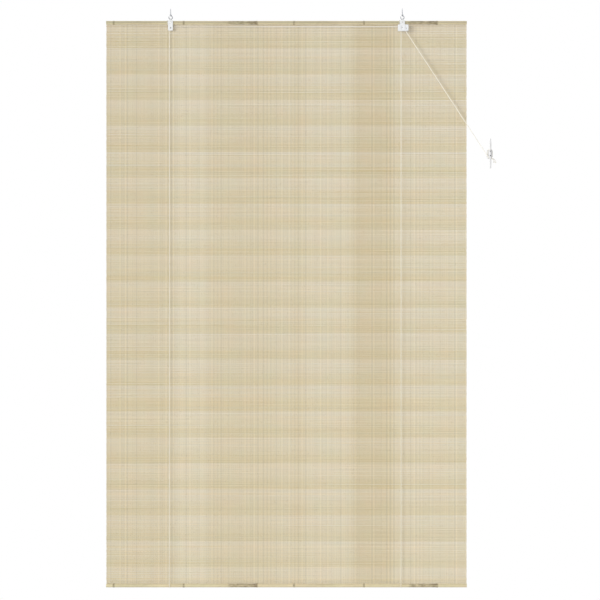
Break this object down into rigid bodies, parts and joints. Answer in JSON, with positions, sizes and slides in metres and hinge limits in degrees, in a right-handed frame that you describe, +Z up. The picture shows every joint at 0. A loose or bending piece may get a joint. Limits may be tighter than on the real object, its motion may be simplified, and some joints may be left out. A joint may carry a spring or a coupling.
{
  "type": "bamboo roll-up blind",
  "caption": "Roll-up window blind of split bamboo reeds between canes, hung by strap hangers on screw hooks, with lift cords, pulley, cord lock and wall cleat.",
  "frame": {"origin": "midway between the two screw hooks, on the ceiling plane where their collars stop", "axes": "+Z up along the hooks' screws, +X to the right seen from the room, the front faces -Y"},
  "size_m": [1.5139, 0.0357, 2.2542],
  "materials": {
    "zinc": "zinc plated, dull",
    "white_strap": "white enamel, satin",
    "screw_steel": "nickel plated, satin",
    "axle_steel": "bare steel, dull",
    "roller_plastic": "moulded, satin",
    "lock_plastic": "moulded, satin",
    "pawl_brass": "plain",
    "cane": "natural bamboo skin, satin",
    "reed": "split bamboo, matt",
    "cord": "twisted cotton, matt",
    "cleat_plastic": "moulded, satin"
  },
  "bodies": {
    "blind": {"left_hook": "zinc", "right_hook": "zinc", "left_hanger": "white_strap", "right_hanger": "white_strap", "hanger_screws": "screw_steel", "pulley_axle": "axle_steel", "lock_housing": "lock_plastic", "lock_cover": "lock_plastic", "lock_rivets": "screw_steel", "roller_axle": "axle_steel", "pawl_pin": "axle_steel", "top_cane": "cane", "reed_mat": "reed", "left_cord_tie": "cord", "right_cord_tie": "cord", "left_lift_cord": "cord", "right_lift_cord": "cord", "left_pull_cord": "cord", "right_pull_cord": "cord", "cord_end_knots": "cord", "cleat": "cleat_plastic"},
    "bottom_bar": {"bottom_cane": "cane"},
    "pulley": {"left_pulley": "roller_plastic"},
    "roller": {"lock_roller": "roller_plastic"},
    "pawl": {"lock_pawl": "pawl_brass"}
  },
  "joints": [
    {"name": "roll_up", "type": "slide", "parent": "blind", "child": "bottom_bar", "axis": [0, 0, 1], "range_m": [0, 2.06], "deforming": ["reed_mat", "left_lift_cord", "right_lift_cord"]},
    {"name": "left_pulley_spin", "type": "hinge", "parent": "blind", "child": "pulley", "pos_m": [-0.45, -0.00465, -0.052], "axis": [0, 1, 0], "continuous": true},
    {"name": "lock_roller_spin", "type": "hinge", "parent": "blind", "child": "roller", "pos_m": [0.4486, -0.01365, -0.052], "axis": [0, 1, 0], "continuous": true},
    {"name": "pawl_release", "type": "hinge", "parent": "blind", "child": "pawl", "pos_m": [0.46425, -0.01365, -0.05525], "axis": [0, -1, 0], "range_deg": [0, 35]}
  ],
  "couplings": [
    {"joint": "left_pulley_spin", "follows": "roll_up", "rad_per_m": 454.55},
    {"joint": "lock_roller_spin", "follows": "roll_up", "rad_per_m": 454.55}
  ]
}
